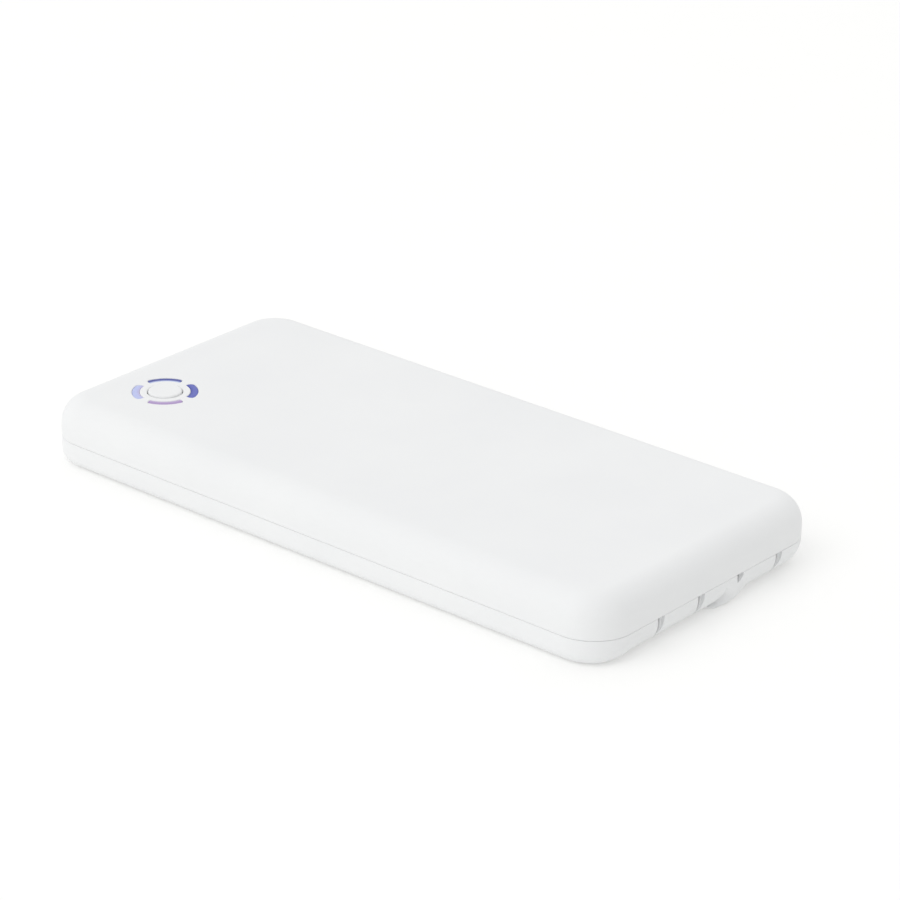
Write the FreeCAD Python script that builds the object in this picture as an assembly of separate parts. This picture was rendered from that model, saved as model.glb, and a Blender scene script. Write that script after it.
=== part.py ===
"""Wireless power bank: a flat two-shell case with a lit push button and a charging coil under its top face.

Millimetres, +Z up. The origin is at the middle of the underside, +X points to the notched short end and
the button sits near the other end.
"""
import FreeCAD
import Part
import math
import os

Vector = FreeCAD.Vector

# Case form
body_length = 142.0
body_width = 67.0
body_height = 13.2
parting_height = 5.4
corner_radius = 8.8
top_edge_radius = 5.4
bottom_edge_radius = 2.6
wall = 1.6
ceiling = 1.5
floor = 1.4

# Seam and snap joint between the two covers
seam_gap = 0.12
seam_chamfer = 0.2
fit_gap = 0.1
tongue_thickness = 0.8
tongue_depth = 1.5
tongue_root = 1.6
bead_height = 0.3
bead_length = 10.0
bead_spacing = 36.0
bead_drop = 0.8

# Notched end of the lower cover
end_curl_near = 4.3
end_curl_far = 4.9
end_curl_lead = 4.3
end_curl_growth = 6.0
side_curl_fade = 15.0
cutter_margin = 1.0
end_wall = 3.6
notch_width = 2.0
notch_depth = 1.5
notch_pitch = 12.0
notch_count = 4
notch_offset = 2.4
pull_lip_start = 0.9
pull_lip_width = 10.2
pull_lip_corner = 2.5
pull_lip_step = 3.2
pull_rim_y = 0.7
pull_rim_height = 4.4
pull_rim_radius = 3.35
pull_groove_width = 0.8
pull_groove_depth = 2.4
pull_groove_slope = 30.0

# Button and light ring
button_from_end = 16.0
button_from_side = 18.5
button_diameter = 6.8
button_gap = 0.2
button_proud = 0.25
button_edge_bevel = 0.35
button_travel = 0.4
button_flange_diameter = 8.6
button_flange_thickness = 0.7
button_stem_diameter = 3.0
hole_chamfer = 0.3
stop_gap = 0.1
ring_inner_diameter = 10.3
ring_outer_diameter = 13.2
arc_span = 69.0
arc_count = 4
first_arc_angle = 45.0
guide_gap = 0.05
guide_sunk = 0.08
guide_base_thickness = 0.7
guide_base_margin = 0.6
guide_leg_span = 20.0
led_gap = 0.3

# Push switch
switch_size = 6.2
switch_base_height = 3.4
switch_plate_thickness = 0.3
plunger_diameter = 3.3
plunger_flange_diameter = 4.2
plunger_flange_thickness = 0.8
plunger_tail = 1.0
plunger_gap = 0.2
plunger_floor_gap = 0.3

# Circuit board and what it carries
board_thickness = 1.0
board_height = 4.6
board_depth = 25.0
board_side_gap = 2.0
board_corner = 5.5
board_gap = 0.3
led_length = 2.0
led_width = 1.6
led_height = 0.8
inductor_size = 7.0
inductor_height = 4.2
inductor_gap = 1.0
inductor_corner = 1.2
inductor_edge = 0.4
chip_size = 5.0
chip_spacing = 7.0
chip_from_button = 11.8
chip_height = 0.9
capacitor_length = 3.2
capacitor_width = 1.6
capacitor_height = 1.5
capacitor_pitch = 2.4
capacitor_count = 5
capacitor_margin = 0.8

# Screws and posts
screw_diameter = 2.0
screw_length = 4.2
screw_head_diameter = 3.8
screw_head_height = 1.3
screw_slot_width = 0.6
screw_slot_depth = 0.6
screw_inset_x = 3.6
screw_inset_y = 3.2
post_diameter = 4.8

# Output socket
usb_a_y = 12.0
usb_a_width = 13.1
usb_a_height = 5.7
usb_a_depth = 14.0
usb_a_wall = 0.3
usb_a_tongue_width = 11.1
usb_a_tongue_thickness = 1.84
usb_a_tongue_drop = 0.5
usb_a_mouth = 1.2
usb_a_back = 3.4
usb_a_low = 3.0
usb_a_contact_count = 4
usb_a_contact_width = 1.0
usb_a_contact_pitch = 2.3
usb_a_ear = 1.5
usb_a_ear_spread = 4.0

# Charging socket
usb_c_y = -5.0
usb_c_width = 8.94
usb_c_height = 3.16
usb_c_depth = 7.4
usb_c_wall = 0.3
usb_c_tongue_width = 6.69
usb_c_tongue_thickness = 0.7
usb_c_mouth = 0.9
usb_c_back = 1.6
usb_c_contact_count = 12
usb_c_contact_width = 0.25
usb_c_contact_pitch = 0.5

contact_thickness = 0.15
socket_setback = 0.3
socket_gap = 0.2
usb_a_opening_corner = 0.6
usb_c_opening_corner = 1.5

# Cell, coil and the layers between them
cell_side_gap = 1.0
cell_corner = 2.5
cell_edge = 1.4
cell_end_gap = 1.2
terrace_length = 4.0
terrace_thickness = 0.8
tape_thickness = 0.3
tape_margin = 4.0
tab_width = 5.0
tab_thickness = 0.3
tab_spacing = 14.0
tab_overlap = 3.0
tab_run = 5.4
rail_thickness = 1.0
rail_gap = 0.3
heat_sheet_thickness = 0.3
heat_sheet_margin = 3.0
coil_outer_diameter = 43.0
coil_inner_diameter = 20.5
coil_thickness = 1.1
ferrite_thickness = 0.8
ferrite_corner = 3.0
tray_floor = 0.6
tray_rim = 1.2
tray_gap = 0.3
tray_side_gap = 0.1
lead_diameter = 1.0
lead_sides = 8
lead_spacing = 4.0
lead_bend = 2.0
lead_inset = 2.2
lead_slot_gap = 0.3

# Places worked out from the sizes above
half_length = body_length / 2
half_width = body_width / 2
ceiling_height = body_height - ceiling
seam_height = parting_height - seam_gap
button_x = -half_length + button_from_end
button_y = -half_width + button_from_side
straight_x = half_length - corner_radius
straight_y = half_width - corner_radius
inner_end = half_length - end_wall
tongue_inset = wall + fit_gap + tongue_thickness
board_low_x = -half_length + tongue_inset + board_gap
board_high_x = board_low_x + board_depth
board_top = board_height + board_thickness
board_width = body_width - 2 * (tongue_inset + board_side_gap)
chip_y = button_y + chip_from_button
screw_xs = (board_low_x + screw_inset_x, board_high_x - screw_inset_x)
screw_ys = (-board_width / 2 + screw_inset_y, board_width / 2 - screw_inset_y)
socket_front = -half_length + socket_setback
coil_low = ceiling_height - coil_thickness
ferrite_low = coil_low - ferrite_thickness
tray_low = ferrite_low - tray_floor
cell_top = tray_low - heat_sheet_thickness
cell_low = floor + tape_thickness
cell_high_x = inner_end - cell_end_gap
terrace_low_x = board_high_x + tab_run
cell_low_x = terrace_low_x + terrace_length
cell_width = body_width - 2 * (tongue_inset + cell_side_gap)
coil_x = (cell_low_x + cell_high_x) / 2
tray_size = body_width - 2 * (top_edge_radius + tray_side_gap)
ferrite_size = tray_size - 2 * (tray_rim + tray_gap)
switch_top = board_top + switch_base_height
plate_top = switch_top + switch_plate_thickness
flange_top = ceiling_height - stop_gap
flange_low = flange_top - button_flange_thickness
plunger_top = plate_top + button_travel + plunger_floor_gap
led_top = board_top + led_height
arc_angles = [first_arc_angle + 360.0 / arc_count * i for i in range(arc_count)]
arc_middle = (ring_inner_diameter + ring_outer_diameter) / 4
notch_ys = [notch_offset + notch_pitch * (i - (notch_count - 1) / 2) for i in range(notch_count)]


def block(x_low, x_high, y_low, y_high, z_low, z_high):
    """A plain block between two corners."""
    size = (x_high - x_low, y_high - y_low, z_high - z_low)
    return Part.makeBox(*size, Vector(x_low, y_low, z_low))


def slab(x_low, x_high, y_low, y_high, z_low, z_high, corner):
    """A block with its four upright edges rounded."""
    solid = block(x_low, x_high, y_low, y_high, z_low, z_high)
    upright = [edge for edge in solid.Edges if edge.BoundBox.ZLength > (z_high - z_low) / 2]
    return solid.makeFillet(corner, upright)


def case_slab(inset, z_low, z_high):
    """The case's plan drawn in by an inset, between two heights."""
    x = half_length - inset
    y = half_width - inset
    return slab(-x, x, -y, y, z_low, z_high, corner_radius - inset)


def edges_at(solid, height):
    """Every edge that lies flat at a height."""
    return [edge for edge in solid.Edges
            if abs(edge.BoundBox.ZMin - height) < 1e-4 and edge.BoundBox.ZLength < 1e-4]


def round_rim(solid, height, radius):
    """Round every edge that lies flat at a height."""
    return solid.makeFillet(radius, edges_at(solid, height))


def bevel_rim(solid, height, size):
    """Bevel every edge that lies flat at a height."""
    return solid.makeChamfer(size, edges_at(solid, height))


def disc(x, y, z_low, z_high, diameter):
    """An upright round bar."""
    return Part.makeCylinder(diameter / 2, z_high - z_low, Vector(x, y, z_low))


def sector(inner, outer, z_low, z_high, angle, span):
    """A piece of an upright ring round the button's axis, by its two diameters."""
    pie = Part.makeCylinder(outer / 2, z_high - z_low, Vector(0, 0, z_low), Vector(0, 0, 1), span)
    pie.rotate(Vector(0, 0, 0), Vector(0, 0, 1), angle - span / 2)
    piece = pie.cut(disc(0, 0, z_low, z_high, inner))
    piece.translate(Vector(button_x, button_y, 0))
    return piece


def fused(shapes):
    """One solid from several that meet."""
    return shapes[0].multiFuse(shapes[1:]).removeSplitter()


def button_bar(z_low, z_high, diameter):
    """A round bar on the button's axis."""
    return disc(button_x, button_y, z_low, z_high, diameter)


# Outside form of the case

def case_form():
    """The whole case as one solid with its rims rounded."""
    solid = case_slab(0, 0, body_height)
    solid = round_rim(solid, body_height, top_edge_radius)
    return round_rim(solid, 0, bottom_edge_radius)


def curl_section(place, outward, radius):
    """The space that a quarter-round of a radius leaves free under the case's edge, as a closed line."""
    def at(inset, height):
        return place - outward * inset + Vector(0, 0, height)

    middle = radius * (1 - math.sqrt(0.5))
    arc = Part.Arc(at(0, radius), at(middle, middle), at(radius, 0)).toShape()
    outside = Part.makePolygon([at(radius, 0), at(radius, -cutter_margin),
                                at(-cutter_margin, -cutter_margin), at(-cutter_margin, radius),
                                at(0, radius)])
    return Part.Wire([arc] + outside.Edges)


def end_curl_cutters():
    """What is taken off under the notched end and its far corner, so that they curl in more.

    The radius grows out of the near corner's, along the end, and fades again along the far side.
    """
    outward = Vector(1, 0, 0)
    curl_start = -straight_y - end_curl_lead
    stations = [(curl_start, bottom_edge_radius), (curl_start + end_curl_growth, end_curl_near),
                (straight_y, end_curl_far)]
    end = Part.makeLoft([curl_section(Vector(half_length, y, 0), outward, r) for y, r in stations],
                        True, True)
    section = Part.Face(curl_section(Vector(half_length, straight_y, 0), outward, end_curl_far))
    corner = section.revolve(Vector(straight_x, straight_y, 0), Vector(0, 0, 1), 90)
    stations = [(straight_x, end_curl_far), (straight_x - side_curl_fade, bottom_edge_radius)]
    side = Part.makeLoft([curl_section(Vector(x, half_width, 0), Vector(0, 1, 0), r) for x, r in stations],
                         True, True)
    return [end, corner, side]


def rim_bar(radius, x_low, x_high):
    """A round bar along X about the middle of the lip's curved rim."""
    start = Vector(x_low, pull_rim_y, pull_rim_height)
    return Part.makeCylinder(radius, x_high - x_low, start, Vector(1, 0, 0))


def pull_lip(form, top):
    """The lip in the middle of the notched end: it keeps the case's full outline right of a curved rim."""
    low_x = half_length - pull_lip_width / 2
    block_ahead = slab(low_x, half_length, pull_lip_start, pull_lip_start + pull_lip_width, 0, top,
                       pull_lip_corner)
    return form.common(block_ahead).cut(rim_bar(pull_rim_radius, low_x, half_length))


def pull_groove():
    """The fingernail groove along the lip's curved rim: deepest at its left, it runs out upward."""
    low_x = half_length - pull_groove_depth
    high_x = half_length + cutter_margin
    reach = pull_rim_radius + pull_groove_width
    ring = rim_bar(reach, low_x, high_x).cut(rim_bar(pull_rim_radius, low_x, high_x))
    ring = ring.common(block(low_x, high_x, pull_lip_start, pull_rim_y + reach, 0, pull_rim_height))
    kept = block(low_x - 2 * reach, low_x, pull_rim_y - reach, pull_rim_y + 2 * reach, 0, pull_rim_height)
    kept.rotate(Vector(low_x, pull_rim_y, 0), Vector(0, 0, 1), -pull_groove_slope)
    return ring.cut(kept)


def notches():
    """The four upright notches in the short end, from the seam down to where the end curls away."""
    cutters = []
    for y in notch_ys:
        cutters.append(block(half_length - notch_depth, half_length + notch_depth,
                             y - notch_width / 2, y + notch_width / 2, 0, parting_height))
    return cutters


def usb_a_opening():
    """The way through the end wall for the output socket."""
    half = usb_a_width / 2 + socket_gap
    return socket_opening(usb_a_y - half, usb_a_y + half, usb_a_low - socket_gap,
                          usb_a_low + usb_a_height + socket_gap, usb_a_opening_corner)


def usb_c_opening():
    """The way through the end wall for the charging socket."""
    half = usb_c_width / 2 + socket_gap
    return socket_opening(usb_c_y - half, usb_c_y + half, board_top - socket_gap,
                          board_top + usb_c_height + socket_gap, usb_c_opening_corner)


def socket_opening(y_low, y_high, z_low, z_high, corner):
    """A round-cornered hole along X through the plain short end."""
    solid = block(-half_length - wall, -half_length + tongue_inset + wall, y_low, y_high, z_low, z_high)
    along = [edge for edge in solid.Edges if edge.BoundBox.XLength > wall]
    return solid.makeFillet(corner, along)


# Covers

def snap_beads(height):
    """Three-sided bars along both long sides, where the covers snap together."""
    bars = []
    z = parting_height - bead_drop
    for side in (-1, 1):
        y = side * (half_width - wall - fit_gap)
        for step in (-1, 0, 1):
            x = step * bead_spacing - bead_length / 2
            corners = [Vector(x, y, z + height), Vector(x, y + side * height, z), Vector(x, y, z - height)]
            face = Part.Face(Part.makePolygon(corners + corners[:1]))
            bars.append(face.extrude(Vector(bead_length, 0, 0)))
    return bars


def tongue():
    """The upper cover's lip, which slips inside the lower cover along three sides."""
    low = parting_height - tongue_depth
    root = parting_height + tongue_root
    hanging = case_slab(wall + fit_gap, low, parting_height)
    rooted = case_slab(wall - fit_gap, parting_height, root)
    inside = case_slab(tongue_inset, low, root)
    past_end = block(inner_end - fit_gap, half_length, -half_width, half_width, low, root)
    lip = hanging.fuse(rooted).cut(inside)
    return lip.cut(past_end).fuse(snap_beads(bead_height))


def button_hole():
    """The button's hole through the charging face, with a small chamfer at its mouth."""
    hole_radius = button_diameter / 2 + button_gap
    bore = button_bar(flange_low, body_height, 2 * hole_radius)
    mouth = Part.makeCone(hole_radius, hole_radius + hole_chamfer, hole_chamfer,
                          Vector(button_x, button_y, body_height - hole_chamfer))
    return bore.fuse(mouth)


def arc_windows():
    """The four curved windows round the button."""
    inner = ring_inner_diameter - 2 * guide_gap
    outer = ring_outer_diameter + 2 * guide_gap
    spread = math.degrees(guide_gap / arc_middle)
    span = arc_span + 2 * spread
    return [sector(inner, outer, flange_low, body_height, angle, span) for angle in arc_angles]


def make_top_cover(form):
    above = block(-half_length, half_length, -half_width, half_width, parting_height, body_height)
    upper = form.common(above)
    hollow = bevel_rim(case_slab(wall, 0, ceiling_height), ceiling_height, top_edge_radius - wall)
    cover = upper.cut(hollow).fuse(tongue())
    cover = cover.cut([button_hole(), usb_a_opening(), usb_c_opening()] + arc_windows())
    return cover.removeSplitter()


def posts():
    """Four posts under the board."""
    return [disc(x, y, floor - fit_gap, board_height, post_diameter) for x in screw_xs for y in screw_ys]


def post_holes():
    """The screws' holes in the posts."""
    low = board_top - screw_length - fit_gap
    return [disc(x, y, low, board_height, screw_diameter + fit_gap) for x in screw_xs for y in screw_ys]


def cell_rails():
    """Two low rails that keep the cell in its place."""
    near = cell_width / 2 + rail_gap
    top = parting_height - tongue_depth - rail_gap
    rails = []
    for side in (-1, 1):
        y = sorted((side * near, side * (near + rail_thickness)))
        rails.append(block(cell_low_x, cell_high_x, *y, floor - fit_gap, top))
    return rails


def make_bottom_cover(form):
    lower = form.cut(end_curl_cutters()).fuse(pull_lip(form, parting_height))
    lower = lower.common(block(-half_length, half_length, -half_width, half_width, 0, seam_height))
    edge = [e for e in lower.Edges if e.BoundBox.ZMin > seam_height - 1e-4]
    lower = lower.makeChamfer(seam_chamfer, edge)
    hollow = bevel_rim(case_slab(wall, floor, parting_height), floor, bottom_edge_radius - wall)
    hollow = hollow.cut(block(inner_end, half_length, -half_width, half_width, floor, parting_height))
    cover = lower.cut(hollow).fuse(posts() + cell_rails())
    cover = cover.cut(post_holes() + notches() + snap_beads(bead_height + fit_gap))
    cover = cover.fuse(pull_lip(form, pull_lip_step).cut(hollow))
    cover = cover.cut([pull_groove(), usb_a_opening()])
    return cover.removeSplitter()


# Button, light ring and switch

def make_button_cap():
    top = body_height + button_proud
    head = button_bar(flange_top, top, button_diameter)
    head = bevel_rim(head, top, button_edge_bevel)
    flange = button_bar(flange_low, flange_top, button_flange_diameter)
    stem = button_bar(plunger_top, flange_low, button_stem_diameter)
    return fused([head, flange, stem])


def make_light_guide():
    base_low = ceiling_height - guide_base_thickness
    inner = ring_inner_diameter - guide_base_margin
    outer = ring_outer_diameter + guide_base_margin
    base = button_bar(base_low, ceiling_height, outer).cut(button_bar(base_low, ceiling_height, inner))
    pieces = [base]
    for angle in arc_angles:
        pieces.append(sector(ring_inner_diameter, ring_outer_diameter, base_low,
                             body_height - guide_sunk, angle, arc_span))
        pieces.append(sector(ring_inner_diameter, ring_outer_diameter, led_top + led_gap,
                             ceiling_height, angle, guide_leg_span))
    return fused(pieces)


def make_switch_base():
    half = switch_size / 2
    base = block(button_x - half, button_x + half, button_y - half, button_y + half, board_top, switch_top)
    flange_room = plunger_flange_diameter + 2 * plunger_gap
    low = plunger_low() - button_travel - plunger_floor_gap
    return base.cut(button_bar(low, switch_top, flange_room))


def make_switch_plate():
    half = switch_size / 2
    plate = block(button_x - half, button_x + half, button_y - half, button_y + half, switch_top, plate_top)
    return plate.cut(button_bar(switch_top, plate_top, plunger_diameter + 2 * plunger_gap))


def plunger_flange_low():
    """Underside of the plunger's flange at rest."""
    return switch_top - stop_gap - plunger_flange_thickness


def plunger_low():
    """Lower end of the plunger at rest."""
    return plunger_flange_low() - plunger_tail


def make_switch_plunger():
    low = plunger_flange_low()
    shaft = button_bar(plunger_low(), plunger_top, plunger_diameter)
    flange = button_bar(low, low + plunger_flange_thickness, plunger_flange_diameter)
    return shaft.fuse(flange).removeSplitter()


# Board and its components

def make_circuit_board():
    half = board_width / 2
    board = slab(board_low_x, board_high_x, -half, half, board_height, board_top, board_corner)
    holes = [disc(x, y, board_height, board_top, screw_diameter + fit_gap)
             for x in screw_xs for y in screw_ys]
    reach = usb_a_width / 2 + socket_gap
    sink = block(board_low_x, socket_front + usb_a_depth + socket_gap, usb_a_y - reach, usb_a_y + reach,
                 board_height, board_top)
    return board.cut(holes + [sink])


def make_board_screws():
    screws = []
    for x in screw_xs:
        for y in screw_ys:
            top = board_top + screw_head_height
            head = disc(x, y, board_top, top, screw_head_diameter)
            slot = block(x - screw_head_diameter, x + screw_head_diameter, y - screw_slot_width / 2,
                         y + screw_slot_width / 2, top - screw_slot_depth, top)
            shank = disc(x, y, board_top - screw_length, board_top, screw_diameter)
            screws.append(head.cut(slot).fuse(shank).removeSplitter())
    return Part.makeCompound(screws)


def make_indicator_leds():
    lights = []
    for angle in arc_angles:
        light = block(-led_width / 2, led_width / 2, -led_length / 2, led_length / 2, board_top, led_top)
        light.translate(Vector(arc_middle, 0, 0))
        light.rotate(Vector(0, 0, 0), Vector(0, 0, 1), angle)
        light.translate(Vector(button_x, button_y, 0))
        lights.append(light)
    return Part.makeCompound(lights)


def make_power_inductor():
    low_x = socket_front + usb_a_depth + inductor_gap
    half = inductor_size / 2
    top = board_top + inductor_height
    body = slab(low_x, low_x + inductor_size, usb_a_y - half, usb_a_y + half, board_top, top,
                inductor_corner)
    return bevel_rim(body, top, inductor_edge)


def make_control_chips():
    half = chip_size / 2
    chips = []
    for side in (-1, 1):
        x = button_x + side * chip_spacing / 2
        chips.append(block(x - half, x + half, chip_y - half, chip_y + half, board_top,
                           board_top + chip_height))
    return Part.makeCompound(chips)


def make_capacitors():
    """A row along the board's near edge, between two screws."""
    low_y = -board_width / 2 + capacitor_margin
    middle = sum(screw_xs) / 2
    row = []
    for i in range(capacitor_count):
        x = middle + capacitor_pitch * (i - (capacitor_count - 1) / 2) - capacitor_width / 2
        row.append(block(x, x + capacitor_width, low_y, low_y + capacitor_length, board_top,
                         board_top + capacitor_height))
    return Part.makeCompound(row)


# Output socket

def make_usb_a_shell():
    half = usb_a_width / 2
    top = usb_a_low + usb_a_height
    back = socket_front + usb_a_depth
    shell = block(socket_front, back, usb_a_y - half, usb_a_y + half, usb_a_low, top)
    clear = half - usb_a_wall
    inside = block(socket_front, back - usb_a_wall, usb_a_y - clear, usb_a_y + clear,
                   usb_a_low + usb_a_wall, top - usb_a_wall)
    ears = []
    for side in (-1, 1):
        y = sorted((usb_a_y + side * (half - usb_a_wall), usb_a_y + side * (half + usb_a_ear)))
        for x in (back - usb_a_ear_spread, back - 2 * usb_a_ear_spread):
            ears.append(block(x, x + usb_a_ear, *y, board_top, board_top + usb_a_wall))
    return shell.fuse(ears).cut(inside).removeSplitter()


def usb_a_tongue_low():
    """Underside of the output socket's tongue."""
    return usb_a_low + usb_a_height - usb_a_wall - usb_a_tongue_drop - usb_a_tongue_thickness


def make_usb_a_tongue():
    half = usb_a_width / 2 - usb_a_wall
    back = socket_front + usb_a_depth - usb_a_wall
    rear = block(back - usb_a_back, back, usb_a_y - half, usb_a_y + half, usb_a_low + usb_a_wall,
                 usb_a_low + usb_a_height - usb_a_wall)
    low = usb_a_tongue_low()
    blade = block(socket_front + usb_a_mouth, back, usb_a_y - usb_a_tongue_width / 2,
                  usb_a_y + usb_a_tongue_width / 2, low, low + usb_a_tongue_thickness)
    return fused([rear, blade])


def make_usb_a_contacts():
    top = usb_a_tongue_low()
    back = socket_front + usb_a_depth - usb_a_wall - usb_a_back
    strips = []
    for i in range(usb_a_contact_count):
        y = usb_a_y + usb_a_contact_pitch * (i - (usb_a_contact_count - 1) / 2) - usb_a_contact_width / 2
        strips.append(block(socket_front + 2 * usb_a_mouth, back, y, y + usb_a_contact_width,
                            top - contact_thickness, top))
    return Part.makeCompound(strips)


# Charging socket

def stadium(width, height, x_low, x_high, z_middle):
    """A bar along X whose section has fully round sides."""
    half = width / 2
    bar = block(x_low, x_high, usb_c_y - half, usb_c_y + half, z_middle - height / 2, z_middle + height / 2)
    along = [edge for edge in bar.Edges if edge.BoundBox.XLength > (x_high - x_low) / 2]
    return bar.makeFillet(height * 0.49, along)


def usb_c_middle():
    """Middle height of the charging socket, which sits on the board."""
    return board_top + usb_c_height / 2


def make_usb_c_shell():
    back = socket_front + usb_c_depth
    shell = stadium(usb_c_width, usb_c_height, socket_front, back, usb_c_middle())
    inside = stadium(usb_c_width - 2 * usb_c_wall, usb_c_height - 2 * usb_c_wall, socket_front,
                     back - usb_c_wall, usb_c_middle())
    return shell.cut(inside)


def make_usb_c_tongue():
    back = socket_front + usb_c_depth - usb_c_wall
    rear = stadium(usb_c_width - 2 * usb_c_wall, usb_c_height - 2 * usb_c_wall, back - usb_c_back, back,
                   usb_c_middle())
    half = usb_c_tongue_width / 2
    low = usb_c_middle() - usb_c_tongue_thickness / 2
    blade = block(socket_front + usb_c_mouth, back, usb_c_y - half, usb_c_y + half, low,
                  low + usb_c_tongue_thickness)
    return fused([rear, blade])


def make_usb_c_contacts():
    back = socket_front + usb_c_depth - usb_c_wall - usb_c_back
    rise = usb_c_tongue_thickness / 2
    strips = []
    for i in range(usb_c_contact_count):
        y = usb_c_y + usb_c_contact_pitch * (i - (usb_c_contact_count - 1) / 2) - usb_c_contact_width / 2
        for low in (usb_c_middle() + rise, usb_c_middle() - rise - contact_thickness):
            strips.append(block(socket_front + 2 * usb_c_mouth, back, y, y + usb_c_contact_width, low,
                                low + contact_thickness))
    return Part.makeCompound(strips)


# Cell and coil

def terrace_top():
    """Height of the pouch's sealed edge, which the tabs leave level with the board's top."""
    return board_top + tab_thickness / 2 + terrace_thickness / 2


def make_battery_cell():
    half = cell_width / 2
    pouch = slab(cell_low_x, cell_high_x, -half, half, cell_low, cell_top, cell_corner)
    pouch = bevel_rim(bevel_rim(pouch, cell_top, cell_edge), cell_low, cell_edge)
    top = terrace_top()
    sealed_edge = block(terrace_low_x, cell_low_x + cell_corner, -half + cell_corner, half - cell_corner,
                        top - terrace_thickness, top)
    slots = [block(terrace_low_x, cell_low_x, *span, board_top, board_top + tab_thickness)
             for span in tab_spans()]
    return pouch.fuse(sealed_edge).cut(slots).removeSplitter()


def tab_spans():
    """The two tabs' places across the case."""
    return [(side * tab_spacing / 2 - tab_width / 2, side * tab_spacing / 2 + tab_width / 2)
            for side in (-1, 1)]


def make_battery_tabs():
    tabs = [block(board_high_x - tab_overlap, cell_low_x, *span, board_top, board_top + tab_thickness)
            for span in tab_spans()]
    return Part.makeCompound(tabs)


def cell_sheet(margin, z_low, z_high):
    """A sheet as large as the cell less a margin all round."""
    half = cell_width / 2 - margin
    return slab(cell_low_x + margin, cell_high_x - margin, -half, half, z_low, z_high, cell_corner)


def make_battery_tape():
    return cell_sheet(tape_margin, floor, cell_low)


def make_heat_sheet():
    return cell_sheet(heat_sheet_margin, cell_top, tray_low)


def coil_square(size, z_low, z_high, corner):
    """A round-cornered square plate under the coil."""
    half = size / 2
    return slab(coil_x - half, coil_x + half, -half, half, z_low, z_high, corner)


def make_coil_tray():
    pocket = ferrite_size + 2 * tray_gap
    tray = coil_square(tray_size, tray_low, ceiling_height, ferrite_corner + tray_gap + tray_rim)
    tray = tray.cut(coil_square(pocket, ferrite_low, ceiling_height, ferrite_corner + tray_gap))
    reach = lead_spacing / 2 + lead_diameter / 2 + lead_slot_gap
    way_out = block(coil_x - pocket / 2 - 2 * tray_rim, coil_x - pocket / 2 + tray_gap, -reach, reach,
                    coil_low, ceiling_height)
    return tray.cut(way_out)


def make_ferrite_plate():
    return coil_square(ferrite_size, ferrite_low, coil_low, ferrite_corner)


def make_charging_coil():
    """A flat winding, as one ring."""
    winding = disc(coil_x, 0, coil_low, ceiling_height, coil_outer_diameter)
    return winding.cut(disc(coil_x, 0, coil_low, ceiling_height, coil_inner_diameter))


def make_coil_leads():
    """Two leads that run along the ceiling, turn down in an arc and end on the board."""
    start_x = coil_x - coil_outer_diameter / 2
    end_x = board_high_x - lead_inset
    height = coil_low + coil_thickness / 2
    leads = []
    for side in (-1, 1):
        y = side * lead_spacing / 2
        bend_start = Vector(end_x + lead_bend, y, height)
        bend_end = Vector(end_x, y, height - lead_bend)
        reach = lead_bend * math.sqrt(0.5)
        bend_middle = Vector(end_x + lead_bend - reach, y, height - lead_bend + reach)
        route = Part.Wire([
            Part.LineSegment(Vector(start_x, y, height), bend_start).toShape(),
            Part.Arc(bend_start, bend_middle, bend_end).toShape(),
            Part.LineSegment(bend_end, Vector(end_x, y, board_top)).toShape(),
        ])
        half = lead_diameter / 2
        turns = [2 * math.pi * i / lead_sides for i in range(lead_sides + 1)]
        ring = Part.makePolygon([Vector(start_x, y + half * math.cos(turn), height + half * math.sin(turn))
                                 for turn in turns])
        leads.append(route.makePipeShell([ring], True, True))
    return Part.makeCompound(leads)


form = case_form()
parts = {
    "top_cover": make_top_cover(form),
    "bottom_cover": make_bottom_cover(form),
    "button_cap": make_button_cap(),
    "light_guide": make_light_guide(),
    "circuit_board": make_circuit_board(),
    "board_screws": make_board_screws(),
    "switch_base": make_switch_base(),
    "switch_plate": make_switch_plate(),
    "switch_plunger": make_switch_plunger(),
    "indicator_leds": make_indicator_leds(),
    "power_inductor": make_power_inductor(),
    "control_chips": make_control_chips(),
    "capacitors": make_capacitors(),
    "usb_a_shell": make_usb_a_shell(),
    "usb_a_tongue": make_usb_a_tongue(),
    "usb_a_contacts": make_usb_a_contacts(),
    "usb_c_shell": make_usb_c_shell(),
    "usb_c_tongue": make_usb_c_tongue(),
    "usb_c_contacts": make_usb_c_contacts(),
    "battery_cell": make_battery_cell(),
    "battery_tape": make_battery_tape(),
    "battery_tabs": make_battery_tabs(),
    "heat_sheet": make_heat_sheet(),
    "coil_tray": make_coil_tray(),
    "ferrite_plate": make_ferrite_plate(),
    "charging_coil": make_charging_coil(),
    "coil_leads": make_coil_leads(),
}
os.makedirs("parts", exist_ok=True)
for name, shape in parts.items():
    print(name, "solids", len(shape.Solids), "valid", shape.isValid(), "volume", round(shape.Volume, 2))
    shape.exportStep(f"parts/{name}.step")
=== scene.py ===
# %% [markdown]
# # A wireless power bank
#
# The object is a flat white case of two moulded covers. A push button with a ring of four tinted arcs sits
# near one short end, and the other short end curls in underneath, with four notches and a small lip. This
# lesson dresses the engineered solids: the inner parts stay as they are and each gets a finish, and the
# four pieces that the eye meets are drawn afresh as fine surfaces, worked out with numpy.

# %% Load the frame
import math

import bmesh
import bpy
import numpy as np
from mathutils import Matrix, Vector


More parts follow.
